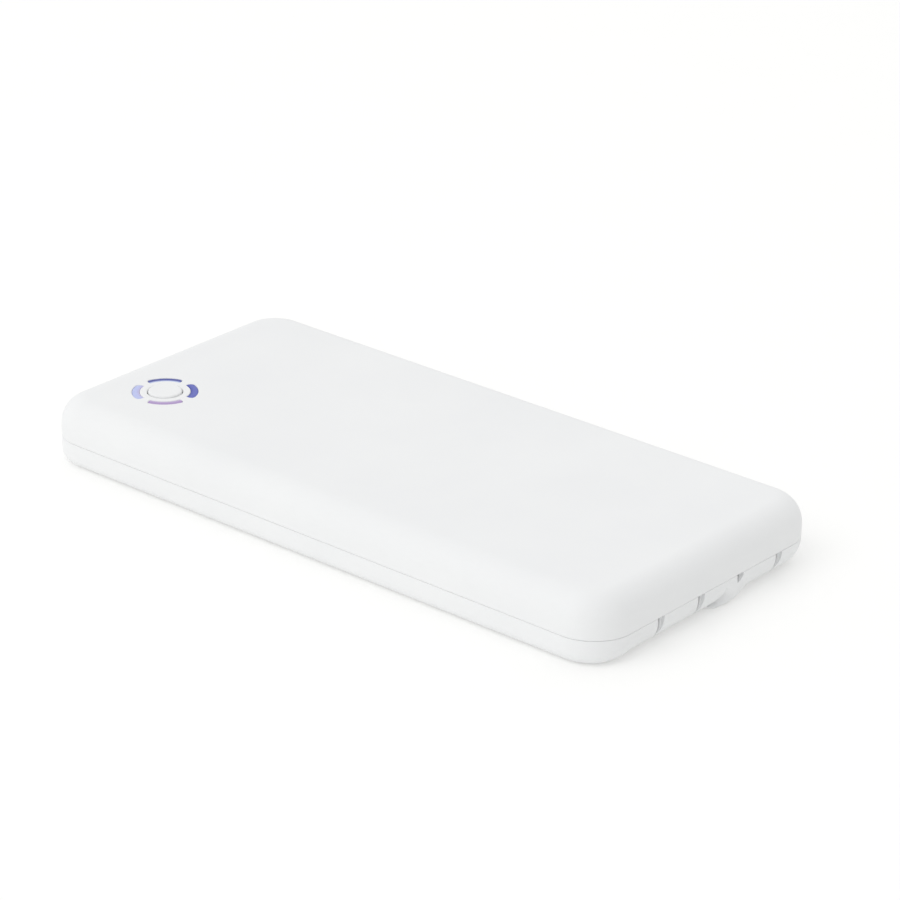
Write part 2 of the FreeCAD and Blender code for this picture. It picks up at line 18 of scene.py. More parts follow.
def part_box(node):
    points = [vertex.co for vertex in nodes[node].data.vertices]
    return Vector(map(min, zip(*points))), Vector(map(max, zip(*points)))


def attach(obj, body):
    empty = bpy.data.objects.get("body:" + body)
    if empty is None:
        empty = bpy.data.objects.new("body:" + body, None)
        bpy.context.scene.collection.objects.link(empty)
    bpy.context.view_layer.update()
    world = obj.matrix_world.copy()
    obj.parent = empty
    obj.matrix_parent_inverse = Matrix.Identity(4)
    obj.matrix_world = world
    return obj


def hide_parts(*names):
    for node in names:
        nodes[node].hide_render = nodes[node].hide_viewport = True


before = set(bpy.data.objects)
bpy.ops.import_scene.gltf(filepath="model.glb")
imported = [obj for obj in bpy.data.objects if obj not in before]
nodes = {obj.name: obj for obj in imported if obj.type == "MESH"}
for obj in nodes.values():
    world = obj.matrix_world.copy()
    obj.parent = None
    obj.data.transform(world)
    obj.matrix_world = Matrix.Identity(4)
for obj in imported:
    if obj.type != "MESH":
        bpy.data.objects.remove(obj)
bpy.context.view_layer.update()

# %% [markdown]
# ## Sizes
#
# The solids already say where everything is, so most sizes are read from their boxes. The roundings can't
# be read from a box, so they are named here. Everything is worked out in millimetres and scaled once, when
# a mesh is made.

# %% Sizes in millimetres
MM = 0.001


def box_mm(node):
    """A solid's lowest and highest corner in millimetres."""
    return [np.array(corner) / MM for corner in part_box(node)]


lower_high = box_mm("bottom_cover")[1]
upper_low, upper_high = box_mm("top_cover")
button_low, button_high = box_mm("button_cap")
half_length, half_width, rim_height = lower_high
face_height = upper_high[2]
tongue_low = upper_low[2]
button_centre = (button_low + button_high)[:2] / 2

corner_radius = 8.8
top_edge_radius = 5.4
bottom_edge_radius = 2.6
wall = 1.6
ceiling = 1.5
floor_thickness = 1.4
seam_gap = 0.12
fit_gap = 0.1
parting_height = rim_height + seam_gap
ceiling_height = face_height - ceiling
print("case", 2 * half_length, "x", 2 * half_width, "x", face_height, "mm, button at", button_centre)

# %% [markdown]
# ## From arrays to a piece
#
# A piece is one or more grids of points. A grid numbers its points row by row, so the four corners of each
# face follow from simple arithmetic on whole arrays. Blender could also build these forms by hand with
# modifiers, but a formula keeps every rounding exact and can be read again later.


# %% Faces of a grid
def grid_faces(rows, columns, rows_close=False, dropped=None):
    """Four-cornered faces between neighbouring rows and columns, without the cells marked as dropped. The
    last column joins the first, and the last row may do so too."""
    row, column = np.meshgrid(np.arange(rows if rows_close else rows - 1), np.arange(columns), indexing="ij")
    next_row = (row + 1) % rows
    next_column = (column + 1) % columns
    cells = np.stack([row * columns + column, row * columns + next_column,
                      next_row * columns + next_column, next_row * columns + column], axis=-1)
    if dropped is not None:
        cells = cells[~dropped]
    return cells.reshape(-1, 4).tolist()


def gathered(shapes):
    """Several shapes as one: their points in one list and their faces renumbered to follow."""
    points, faces, start = [], [], 0
    for shape_points, shape_faces in shapes:
        points.append(shape_points)
        faces += [[start + corner for corner in face] for face in shape_faces]
        start += len(shape_points)
    return np.concatenate(points), faces


# %% Make one piece
SHARP_ANGLE = math.radians(32)
SAME_PLACE = 2e-7


def make_piece(name, shape, body, node):
    """A mesh object from points in millimetres: seams and poles merged, faces turned outwards, smooth between
    sharp edges. It rides on a body and stands for a solid."""
    points, faces = shape
    mesh = bpy.data.meshes.new(name)
    mesh.from_pydata((points * MM).tolist(), [], faces)
    shell = bmesh.new()
    shell.from_mesh(mesh)
    bmesh.ops.remove_doubles(shell, verts=shell.verts, dist=SAME_PLACE)
    bmesh.ops.dissolve_degenerate(shell, dist=SAME_PLACE, edges=shell.edges)
    bmesh.ops.recalc_face_normals(shell, faces=shell.faces)
    open_edges = sum(not edge.is_manifold for edge in shell.edges)
    shell.to_mesh(mesh)
    shell.free()
    mesh.shade_smooth()
    mesh.set_sharp_from_angle(angle=SHARP_ANGLE)
    piece = bpy.data.objects.new(name, mesh)
    bpy.context.scene.collection.objects.link(piece)
    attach(piece, body)
    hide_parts(node)
    print(name, len(mesh.polygons), "faces,", open_edges, "open edges")
    return piece


# %% [markdown]
# ## The case's outline
#
# Seen from above, the case is a rectangle with round corners. Such an outline is a disc rolled round a
# smaller rectangle: on a straight side the disc's centre moves and its normal stands still, and at a corner
# the centre stands still and the normal turns. Keeping centre and normal apart makes every inset of the
# outline a single sum.

# %% Outline as a moving centre and a turning normal
reach_x = half_length - corner_radius
reach_y = half_width - corner_radius
quarter_turn = math.pi / 2
corner_run = corner_radius * quarter_turn
knot_x = reach_x * np.array([1, 1, 1, -1, -1, -1, -1, 1, 1])
knot_y = reach_y * np.array([-1, 1, 1, 1, 1, -1, -1, -1, -1])
knot_angle = quarter_turn * np.array([0, 0, 1, 1, 2, 2, 3, 3, 4])
side_runs = [2 * reach_y, corner_run, 2 * reach_x, corner_run] * 2
knots = np.concatenate([[0], np.cumsum(side_runs)])


def outline_at(run):
    """Centre and normal of the outline at distances along it; a point on it is centre + radius * normal."""
    centre = np.column_stack([np.interp(run, knots, knot_x), np.interp(run, knots, knot_y)])
    angle = np.interp(run, knots, knot_angle)
    return centre, np.column_stack([np.cos(angle), np.sin(angle)])


def plain_end_run(y):
    """Distance along the outline of a place across the plain short end, which faces -X."""
    return knots[4] + reach_y - np.asarray(y)


def side_and_corner_runs(corner_steps, side_step):
    """Distances along the outline that divide its corners and sides evenly."""
    runs = []
    for start, end, is_corner in zip(knots, knots[1:], [False, True] * 4):
        steps = corner_steps if is_corner else math.ceil((end - start) / side_step)
        runs.append(np.linspace(start, end, steps, endpoint=False))
    return np.concatenate(runs)


def distinct(places, digits=7):
    """Several lists of places as one, in order and without repeats."""
    return np.unique(np.round(np.concatenate(places), digits))


even_runs = side_and_corner_runs(corner_steps=24, side_step=6.0)
print("outline", round(knots[-1], 1), "mm round, divided at", len(even_runs), "places")

# %% [markdown]
# ## Where the sockets and the button's windows are
#
# The plain short end has two sockets, and each has an opening in the covers a little larger than its shell.
# Round the button, four arcs of the charging face are cut out for the light. Columns of the grid have to
# stand exactly at the edges of all these openings, so their places are worked out before the grid is.

# %% Places of the openings
socket_gap = 0.2
ear_length = 1.5
usb_a_low, usb_a_high = box_mm("usb_a_shell")
usb_c_low, usb_c_high = box_mm("usb_c_shell")
usb_a_span = (usb_a_low[1] + ear_length - socket_gap, usb_a_high[1] - ear_length + socket_gap)
usb_c_span = (usb_c_low[1] - socket_gap, usb_c_high[1] + socket_gap)
usb_a_heights = (usb_a_low[2] - socket_gap, usb_a_high[2] + socket_gap)
usb_c_top = usb_c_high[2] + socket_gap

hole_radius = 3.6
hole_rounding = 0.3
window_inner = 5.1
window_outer = 6.65
window_rounding = 0.2
# A hair under 35 degrees, so that no ray of the even fan falls on a window's edge.
window_half_span = math.radians(34.99)
window_corner = 0.9
arc_angles = np.radians([45, 135, 225, 315])
window_margin = window_rounding / ((window_inner + window_outer) / 2)
face_start = window_outer + 4 * window_rounding
print("openings at y", np.round(usb_a_span, 2), np.round(usb_c_span, 2))

# %% [markdown]
# ## Top cover
#
# The upper shell is a moulded tray turned upside down: a flat charging face, a generous rounding all round
# and a thin tongue that slips into the lower cover. It is one closed grid. Each column runs from the button's
# hole outwards across the face, over the rounding, down the wall, round the rim, and back along the inside
# to the hole. Laying the columns out as rays from the button keeps the hole and the windows perfectly
# round.

# %% Columns as rays from the button
ray_samples = 40001
# Degrees between rays, and from a window's end to the closer rays at its round corners.
ray_step = 2.5
corner_rays = np.arange(0, 9, 0.9)


def run_at_ray(angle):
    """Distance along the outline where a ray from the button at an angle meets the flat face's edge."""
    dense = np.linspace(0, knots[-1], ray_samples)
    centre, normal = outline_at(dense)
    ray = centre + (corner_radius - top_edge_radius) * normal - button_centre
    seen = np.unwrap(np.arctan2(ray[:, 1], ray[:, 0]))
    turned = seen[0] + np.mod(np.asarray(angle) - seen[0], 2 * math.pi)
    return np.interp(turned, seen, dense)


edge_offsets = np.concatenate([[window_half_span + window_margin],
                               window_half_span - np.radians(corner_rays)])
window_edges = (arc_angles[:, None] + np.concatenate([-edge_offsets, edge_offsets])).ravel()
ray_angles = np.concatenate([np.radians(np.arange(0, 360, ray_step)), window_edges])
top_runs = distinct([even_runs, run_at_ray(ray_angles), plain_end_run(usb_a_span), plain_end_run(usb_c_span)])
top_centre, top_normal = outline_at(top_runs)
face_edge = top_centre + (corner_radius - top_edge_radius) * top_normal
ray = face_edge - button_centre
ray_length = np.linalg.norm(ray, axis=1)
ray_direction = ray / ray_length[:, None]
ray_angle = np.mod(np.arctan2(ray[:, 1], ray[:, 0]), 2 * math.pi)
print("top cover columns", len(top_runs))


# %% Kinds of rows
def level(xy, height):
    """Points in plan lifted to a height, or to a height for each point."""
    return np.column_stack([xy, np.broadcast_to(height, len(xy))])


def ring_row(radius, height):
    """A circle round the button."""
    return level(button_centre + radius * ray_direction, height)


def face_row(share, height):
    """A row of the flat face, a share of the way from the windows to the face's edge."""
    reach = face_start + share * (ray_length - face_start)
    return level(button_centre + reach[:, None] * ray_direction, height)


def wall_row(centre, normal, inset, height):
    """The outline drawn in by an inset, which may differ from column to column."""
    return level(centre + (corner_radius - np.broadcast_to(inset, len(centre)))[:, None] * normal, height)


def top_wall_row(inset, height):
    """A row of the top cover's wall, drawn in by an inset."""
    return wall_row(top_centre, top_normal, inset, height)


def fillet_turn(height):
    """How far the top rounding has turned down at a height."""
    return math.acos(1 - (face_height - height) / top_edge_radius)


def quarter_turns(steps):
    """Angles that divide a quarter turn evenly, for a rounded edge."""
    return np.linspace(0, quarter_turn, steps)


# %% Rows outside the top cover
hole_rows = [ring_row(hole_radius, ceiling_height)]
hole_rows += [ring_row(hole_radius + hole_rounding * (1 - math.cos(t)),
                       face_height - hole_rounding * (1 - math.sin(t))) for t in quarter_turns(6)]
window_start_row = len(hole_rows)
ring_edges = (window_inner - window_rounding, window_outer + window_rounding)
face_shares = [0, 0.04, 0.12, 0.25, 0.45, 0.7, 0.9]
face_rows = [ring_row(r, face_height) for r in ring_edges] + [face_row(s, face_height) for s in face_shares]
socket_turns = [fillet_turn(usb_a_heights[1]), fillet_turn(usb_c_top)]
turns = np.sort(np.concatenate([quarter_turns(19), socket_turns]))
fillet_rows = [top_wall_row(top_edge_radius * (1 - math.sin(t)),
                            face_height - top_edge_radius * (1 - math.cos(t))) for t in turns]
rim_rounding = 0.12
wall_heights = np.linspace(face_height - top_edge_radius, parting_height + rim_rounding, 4)[1:-1]
rim_rows = [top_wall_row(0, height) for height in wall_heights]
rim_rows += [top_wall_row(rim_rounding * (1 - math.cos(t)), parting_height + rim_rounding * (1 - math.sin(t)))
             for t in quarter_turns(4)]
print("rows round the hole", len(hole_rows), "and over the rounding", len(fillet_rows))

# %% [markdown]
# The tongue that slips into the lower cover runs along three sides only: at the notched end the lower
# cover's thick wall fills that place. So the tongue's rows fold up flat in the columns of that end.

# %% Rows inside the top cover
end_wall = 3.6
tongue_thickness = 0.8
tongue_root = 1.6
inner_end = half_length - end_wall
has_tongue = top_wall_row(wall, 0)[:, 0] < inner_end - fit_gap
tongue_outer = np.where(has_tongue, wall + fit_gap, wall)
tongue_inner = np.where(has_tongue, wall + fit_gap + tongue_thickness, wall)
tongue_foot = np.where(has_tongue, tongue_low, parting_height)
root_height = parting_height + tongue_root
bevel_foot = ceiling_height - (top_edge_radius - wall)
inside_rows = [
    top_wall_row(tongue_outer, parting_height), top_wall_row(tongue_outer, tongue_foot),
    top_wall_row(tongue_inner, tongue_foot), top_wall_row(tongue_inner, root_height),
    top_wall_row(wall, root_height),
]
bevel_heights = [bevel_foot, usb_a_heights[1], usb_c_top, ceiling_height]
bevel_rows = [top_wall_row(wall + height - bevel_foot, height) for height in bevel_heights]
ceiling_rows = [face_row(s, ceiling_height) for s in face_shares[::-1]]
ceiling_rows += [ring_row(r, ceiling_height) for r in ring_edges[::-1]]
top_rows = np.stack(hole_rows + face_rows + fillet_rows + rim_rows + inside_rows + bevel_rows + ceiling_rows)
row_count, column_count = top_rows.shape[:2]
print("top cover rows", row_count)

# %% [markdown]
# Openings are made by leaving cells out of the grid and closing the cut between the outer and the inner
# skin. A socket's opening reaches down to the rim, so it is a gap in the wall: one strip closes its top and
# a cap closes each side. A window is a hole in the face, so a ring of faces with a rounded edge lines it.


# %% Cut openings into a grid
def socket_gap_faces(columns, first_column, last_column, outer_row, inner_row, dropped):
    """Mark the cells between two rows and columns as dropped, and return what closes the cut: a strip along
    its edge and a cap on each side."""
    dropped[outer_row:inner_row, first_column:last_column] = True
    across = np.arange(first_column, last_column)
    strip = np.column_stack([outer_row * columns + across, outer_row * columns + across + 1,
                             inner_row * columns + across + 1, inner_row * columns + across])
    down = np.arange(outer_row, inner_row + 1) * columns
    return strip.tolist() + [(down + first_column).tolist(), (down + last_column).tolist()]


def nearest(values, wanted):
    """The index of the value that comes closest to a wanted one."""
    return int(np.argmin(np.abs(values - wanted)))


def corner_drop(offset, half_span, outer):
    """How much an arc's outer radius falls off near its ends, as a rounded corner does."""
    share = np.clip(1 - (half_span - np.abs(offset)) * outer / window_corner, 0, 1)
    return window_corner * (1 - np.sqrt(1 - share ** 2))


def window_lining(first_column, last_column, middle):
    """The lining of one window: a closed loop along its edge, carried from the face over a quarter-round edge
    and straight down to the ceiling."""
    along = ray_angle[first_column:last_column + 1]
    angle = np.concatenate([along, along[::-1]])
    radius = np.repeat(ring_edges, len(along))
    target_angle = np.clip(angle, middle - window_half_span, middle + window_half_span)
    outer_edge = window_outer - corner_drop(target_angle - middle, window_half_span, window_outer)
    target_radius = np.where(radius > window_inner, outer_edge, window_inner)
    edge = quarter_turns(6)
    shares = np.concatenate([np.sin(edge), [1, 0]])
    drops = np.concatenate([window_rounding * (1 - np.cos(edge)), [ceiling, ceiling]])
    shares, drops = shares[:, None], drops[:, None]
    turned = angle + shares * (target_angle - angle)
    reach = radius + shares * (target_radius - radius)
    points = np.stack([button_centre[0] + reach * np.cos(turned), button_centre[1] + reach * np.sin(turned),
                       np.broadcast_to(face_height - drops, turned.shape)], axis=-1)
    return points.reshape(-1, 3), grid_faces(len(shares), len(angle))


# %% [markdown]
# Both openings have round corners. The grid cuts them square, so a small filling is set into each corner: a
# section with a hollow quarter-round, carried along X through the wall.


# %% Fill an opening's corner
def swept_rail(profile, start_x, end_x, steps=12):
    """A profile across the case carried along X, with both ends closed; each point may have its own start."""
    across, height = np.asarray(profile, float).T
    places = np.linspace(np.broadcast_to(start_x, len(across)), np.broadcast_to(end_x, len(across)), steps)
    points = np.stack([places, np.broadcast_to(across, places.shape),
                       np.broadcast_to(height, places.shape)], axis=-1)
    rows, columns = places.shape
    ends = [list(range(columns)), list(range((rows - 1) * columns, rows * columns))]
    return points.reshape(-1, 3), grid_faces(rows, columns) + ends


usb_a_corner = 0.6
usb_c_corner = 1.5
set_in = 0.05
set_back = 0.004


def corner_filling(y_edge, z_edge, side, upward, radius):
    """The plastic between a square corner and a hollow quarter-round; its front follows the wall."""
    turn = quarter_turns(13)
    hollow = np.column_stack([y_edge - side * radius * (1 - np.sin(turn)),
                              z_edge - upward * radius * (1 - np.cos(turn))])
    past_edge = np.array([[y_edge + side * set_in, hollow[-1, 1]],
                          [y_edge + side * set_in, z_edge + upward * set_in],
                          [hollow[0, 0], z_edge + upward * set_in]])
    profile = np.concatenate([hollow, past_edge])
    risen = np.clip(profile[:, 1] - (face_height - top_edge_radius), 0, None)
    inset = top_edge_radius - np.sqrt(top_edge_radius ** 2 - risen ** 2)
    return swept_rail(profile, -half_length + inset + set_back, -half_length + wall)


usb_c_foot = parting_height + rim_rounding
top_fillings = []
for side, y_a, y_c in zip((-1, 1), usb_a_span, usb_c_span):
    top_fillings.append(corner_filling(y_a, usb_a_heights[1], side, 1, usb_a_corner))
    top_fillings.append(corner_filling(y_c, usb_c_top, side, 1, usb_c_corner))
    top_fillings.append(corner_filling(y_c, usb_c_foot, side, -1, usb_c_corner - rim_rounding))
bottom_fillings = [corner_filling(y, usb_a_heights[0], side, -1, usb_a_corner)
                   for side, y in zip((-1, 1), usb_a_span)]
print(len(top_fillings) + len(bottom_fillings), "corner fillings")

# %% [markdown]
# Now the grid is cut. Row and column numbers of each opening are looked up by its place, its cells are
# dropped, and the linings and fillings join the grid as one shell.

# %% Top cover
dropped = np.zeros((row_count, column_count), bool)
fillet_start = len(hole_rows) + len(face_rows)
bevel_start = fillet_start + len(fillet_rows) + len(rim_rows) + len(inside_rows)
window_ceiling_row = row_count - 2
top_closing = []
for span, height, bevel_row in ((usb_a_span, usb_a_heights[1], bevel_start + 1),
                                (usb_c_span, usb_c_top, bevel_start + 2)):
    edges = sorted(nearest(top_runs, run) for run in plain_end_run(span))
    outer_row = fillet_start + nearest(turns, fillet_turn(height))
    top_closing += socket_gap_faces(column_count, *edges, outer_row, bevel_row, dropped)
linings = []
for middle in arc_angles:
    edges = [nearest(ray_angle, middle + side * (window_half_span + window_margin)) for side in (-1, 1)]
    dropped[window_start_row, edges[0]:edges[1]] = True
    dropped[window_ceiling_row, edges[0]:edges[1]] = True
    linings.append(window_lining(*edges, middle))
top_grid = (top_rows.reshape(-1, 3),
            grid_faces(row_count, column_count, rows_close=True, dropped=dropped) + top_closing)
top_cover = make_piece("upper_shell", gathered([top_grid] + linings + top_fillings), "case", "top_cover")

# %% [markdown]
# ## Bottom cover
#
# The lower shell is a shallow tray. Its underside is rounded all round, and the rounding grows under one
# short end, so that a fingernail can get at the lip there. A single radius that changes along the outline
# describes all of it: 2.6 mm along most of the case, rising round the near corner and highest at the far
# one.

# %% Rounding under the case
curl_near = 4.3
curl_far = 4.9
curl_lead = 6.5
curl_rise = 1.5
side_fade = 15.0


def round_under(radius, height):
    """How far a quarter-round of a radius, standing on the floor, falls short of the wall above it."""
    below = np.clip(radius - height, 0, radius)
    return radius - np.sqrt(radius ** 2 - below ** 2)


def underside_radius(run):
    """Radius under the edge by distance along the outline, which closes on itself at the notched end."""
    places = [curl_rise, knots[1], knots[2], knots[2] + side_fade, knots[8] - curl_lead]
    radii = [curl_near, curl_far, curl_far, bottom_edge_radius, bottom_edge_radius]
    return np.interp(run, places, radii, period=knots[-1])


print("underside radius", bottom_edge_radius, "to", curl_far, "mm")

# %% [markdown]
# The notched end has four notches under the seam. Each is a deep slot along its left side with a shallow
# shelf beside it, and its right side leans over as it goes down. They could be cut with a boolean, but here
# a function says how deep the plastic is cut at each place across and each height, so the notches are part
# of the same grid.

# %% Notches
notch_width = 2.0
notch_middle = 2.4
notch_spacing = 12.0
notch_count = 4
notch_feet = np.array([1.5, 1.0, 3.8, 1.5])
notch_fade = 0.75
notch_lean = 1.4
lean_power = 1.6
slot_share = 0.76
slot_depth = 3.3
shelf_depth = 0.7
notch_places = notch_middle + notch_spacing * (np.arange(notch_count) - (notch_count - 1) / 2)


def notch_cut(y, z):
    """A notch's depth, and how far a place moves to the left with the notch's right side, which leans over
    as it goes down. The places beyond that side follow and close up again within one notch width."""
    nearest_notch = np.abs(y[:, None] - notch_places).argmin(axis=1)
    foot = notch_feet[nearest_notch]
    across = (y - notch_places[nearest_notch]) / notch_width + 0.5
    up = np.clip((z - foot) / (rim_height - foot), 0, 1)
    floor = np.where(across < slot_share, slot_depth, shelf_depth) * np.clip(up / notch_fade, 0, 1)
    lean = notch_lean * (1 - up) ** lean_power * np.clip(np.minimum(across, 2 - across), 0, 1)
    return np.where((across > 0) & (across < 1), floor, 0), lean


print("notches at", notch_places, "mm")

# %% [markdown]
# Between the notches sits the lip. It is a place where the underside hardly curls in, so it stands out like
# a bulge. At its left the wall above it ends in a curved rim, and the lip dips in behind that rim: there a
# fingernail finds hold. One function again says how far the plastic reaches. Angles below the rim are in
# degrees.

# %% Lip and rim
lip_left, lip_crest_left, lip_crest_right, lip_right = 0.45, 2.95, 4.7, 11.1
lip_fall_power = 0.7
lip_radius = 1.6
rim_y, rim_z, rim_radius = 0.68, 4.39, 3.34
rim_blur = 0.06
undercut = 1.3
dip_angle, dip_angle_blur, dip_side_blur, dip_power = 16, 24, 0.6, 1.5
crescent_least, crescent_growth, crescent_turn = 0.3, 0.045, 60


def past(value, edge, blur):
    """0 well before an edge, 1 well past it, with a smooth turn of some width between."""
    share = np.clip((value - edge) / blur + 0.5, 0, 1)
    return share * share * (3 - 2 * share)


def lip_bulge(y):
    """0 beside the lip and 1 on its crest: a quick rise on the left and a slow fall to the right."""
    rise = np.sin(quarter_turn * np.clip((y - lip_left) / (lip_crest_left - lip_left), 0, 1))
    fall = np.cos(quarter_turn * np.clip((y - lip_crest_right) / (lip_right - lip_crest_right), 0, 1))
    return rise * fall ** lip_fall_power


def end_reach(y, z, curl, inset):
    """How far the notched end goes towards +X for a curl radius: the curled wall, and outside the rim the
    lip, which dips in behind the rim and comes out again over the width of the crescent below it."""
    wall_reach = half_length - inset - round_under(curl, z)
    lip_reach = half_length - inset - round_under(curl - lip_bulge(y) * (curl - lip_radius), z)
    from_rim = np.hypot(y - rim_y, z - rim_z) - rim_radius
    below = np.degrees(np.arctan2(rim_z - z, y - rim_y))
    crescent = crescent_least + crescent_growth * np.clip(90 - below, 0, crescent_turn)
    beside = past(below, dip_angle, dip_angle_blur) * past(y, rim_y, dip_side_blur)
    dip = beside * (1 - np.clip(from_rim / crescent, 0, 1)) ** dip_power
    dipped = lip_reach - dip * (lip_reach - wall_reach + undercut)
    return wall_reach + past(from_rim, 0, rim_blur) * (dipped - wall_reach)


print("lip from", lip_left, "to", lip_right, "mm, rim radius", rim_radius, "mm")

# %% [markdown]
# Columns stand close together at the notches' edges and across the lip, where the surface turns quickly,
# and further apart elsewhere. The seam between the covers is drawn as wide as it shows, and it nearly
# closes along the notched end.

# %% Columns of the bottom cover
end_step = 0.4
edge_step = 0.03
# First place, last place and step of the closer columns across the lip.
lip_fine = (-0.3, 5.2, 0.06)
lip_coarse = (5.2, 11.5, 0.14)
notch_edges = (notch_places[:, None] + notch_width * (np.array([0, slot_share, 1]) - 0.5)).ravel()
edge_places = notch_edges[:, None] + edge_step * np.array([-8, -4, -2, -0.5, 0.5, 2, 4, 8])
end_places = np.concatenate([np.arange(-reach_y, reach_y, end_step), edge_places.ravel(),
                             np.arange(*lip_fine), np.arange(*lip_coarse)])
bottom_runs = distinct([even_runs, end_places + reach_y, plain_end_run(usb_a_span)])
bottom_centre, bottom_normal = outline_at(bottom_runs)
bottom_radius = underside_radius(bottom_runs)
at_end = bottom_runs < knots[1]
print("bottom cover columns", len(bottom_runs))


# %% Kinds of rows of the bottom cover
def bottom_row(inset, height):
    """A row of the lower cover's outside, rounded under, with the notched end's own shape."""
    row = wall_row(bottom_centre, bottom_normal, inset + round_under(bottom_radius, height), height)
    depth, lean = notch_cut(row[at_end, 1], row[at_end, 2])
    row[at_end, 1] -= lean
    row[at_end, 0] = end_reach(row[at_end, 1], row[at_end, 2], bottom_radius[at_end], inset) - depth
    return row


def tray_row(inset, height):
    """A row of the lower cover's inside, which stops at the notched end's thick wall."""
    row = wall_row(bottom_centre, bottom_normal, inset, height)
    row[:, 0] = np.minimum(row[:, 0], inner_end)
    return row


def flat_row(share, height):
    """A row of a flat floor: the outline's centres drawn together to a share of their size."""
    return level(share * bottom_centre, height)


# %% Rows of the bottom cover
seam_show = 0.06
seam_chamfer = 0.2
end_close = 0.045
end_fade = 6.0
floor_shares = [0, 0.35, 0.7, 1]
even_start = 0.3
even_step = 0.07
rim_top = parting_height - seam_show
chamfer_foot = rim_top - seam_chamfer
from_corner = reach_y - np.abs(bottom_centre[:, 1])
end_lift = np.where(at_end, end_close * past(from_corner, end_fade / 2, end_fade), 0)
first_turns = np.linspace(0, math.acos(1 - even_start / curl_far), 9)
side_heights = distinct([curl_far * (1 - np.cos(first_turns)), np.arange(even_start, chamfer_foot, even_step),
                         [chamfer_foot, usb_a_heights[0]]], digits=6)
outside = [flat_row(share, 0) for share in floor_shares]
side_start = len(outside)
outside += [bottom_row(0, height) for height in side_heights]
outside += [bottom_row(seam_chamfer * (1 - math.cos(t)),
                       rim_top - seam_chamfer * (1 - math.sin(t)) + end_lift * math.sin(t))
            for t in quarter_turns(6)[1:]]
inside = [tray_row(wall, rim_top + end_lift), tray_row(wall, usb_a_heights[0]),
          tray_row(wall, floor_thickness + bottom_edge_radius - wall),
          tray_row(bottom_edge_radius, floor_thickness)]
inside += [flat_row(share, floor_thickness) for share in floor_shares[::-1]]
bottom_rows = np.stack(outside + inside)
print("bottom cover grid", bottom_rows.shape[:2])

# %% [markdown]
# Inside the tray stand four posts for the board's screws and two rails that keep the cell in its place. A
# post is a profile turned once round its axis, and a rail is a profile carried along the case. Both start a
# little inside the floor, so that no gap shows.


# %% Posts and rails inside the bottom cover
def revolved(profile, centre, steps, rows_close):
    """A profile of radius and height turned once round an upright axis."""
    turn = np.linspace(0, 2 * math.pi, steps, endpoint=False)
    radius, height = np.asarray(profile, float).T
    points = np.stack([centre[0] + radius[:, None] * np.cos(turn), centre[1] + radius[:, None] * np.sin(turn),
                       np.broadcast_to(height[:, None], (len(height), steps))], axis=-1)
    return points.reshape(-1, 3), grid_faces(len(height), steps, rows_close=rows_close)


post_radius = 2.4
post_hole_radius = 1.05
post_steps = 48
root_depth = 0.1
screw_head_radius = 1.9
board_low = box_mm("circuit_board")[0]
screws_low, screws_high = box_mm("board_screws")
post_foot = floor_thickness - root_depth
post_profile = [(post_radius, post_foot), (post_radius, board_low[2]), (post_hole_radius, board_low[2]),
                (post_hole_radius, post_foot)]
post_xs = (screws_low[0] + screw_head_radius, screws_high[0] - screw_head_radius)
post_ys = (screws_low[1] + screw_head_radius, screws_high[1] - screw_head_radius)
posts = [revolved(post_profile, (x, y), post_steps, rows_close=True) for x in post_xs for y in post_ys]
cell_low, cell_high = box_mm("battery_cell")
rail_gap = 0.3
rail_thickness = 1.0
rail_bevel = 0.1
rail_top = tongue_low - rail_gap
terrace_length = 4.0
rails = []
for side in (-1, 1):
    near = side * (cell_high[1] + rail_gap)
    far = near + side * rail_thickness
    rail = [(near, post_foot), (near, rail_top - rail_bevel), (near + side * rail_bevel, rail_top),
            (far - side * rail_bevel, rail_top), (far, rail_top - rail_bevel), (far, post_foot)]
    rails.append(swept_rail(rail, cell_low[0] + terrace_length, cell_high[0]))
print(len(posts), "posts and", len(rails), "rails")

# %% [markdown]
# The opening for the larger socket reaches up to the lower cover's rim. It is cut in the same way as in the
# top cover, and the grid, the posts, the rails and the fillings become one shell.

# %% Bottom cover
row_count, column_count = bottom_rows.shape[:2]
dropped = np.zeros((row_count - 1, column_count), bool)
edges = sorted(nearest(bottom_runs, run) for run in plain_end_run(usb_a_span))
outer_row = side_start + nearest(side_heights, usb_a_heights[0])
bottom_closing = socket_gap_faces(column_count, *edges, outer_row, len(outside) + 1, dropped)
bottom_faces = grid_faces(row_count, column_count, dropped=dropped) + bottom_closing
bottom_grid = (bottom_rows.reshape(-1, 3), bottom_faces)
bottom_cover = make_piece("lower_shell", gathered([bottom_grid] + posts + rails + bottom_fillings), "case",
                          "bottom_cover")

# %% [markdown]
# ## Button
#
# The button is a moulded cap with a flange under the face that keeps it from falling out, and a stem that
# presses the switch. It is round, so a profile turned round its axis is the whole shape. The soft edge of
# the cap is a quarter-circle in that profile.

# %% Button
button_radius = 3.4
button_edge = 0.4
flange_radius = (button_high[0] - button_low[0]) / 2
flange_thickness = 0.7
flange_top = ceiling_height - fit_gap
flange_low = flange_top - flange_thickness
stem_radius = 1.5
button_top = button_high[2]
cap_shares = (0, 0.3, 0.7, 0.95)
round_steps = 128
cap_profile = [(share * (button_radius - button_edge), button_top) for share in cap_shares]
cap_profile += [(button_radius - button_edge * (1 - math.sin(t)),
                 button_top - button_edge * (1 - math.cos(t))) for t in quarter_turns(9)]
cap_profile += [(button_radius, flange_top), (flange_radius, flange_top), (flange_radius, flange_low),
                (stem_radius, flange_low), (stem_radius, button_low[2]), (0, button_low[2])]
button_shape = revolved(cap_profile, button_centre, round_steps, rows_close=False)
button = make_piece("push_button", button_shape, "button", "button_cap")

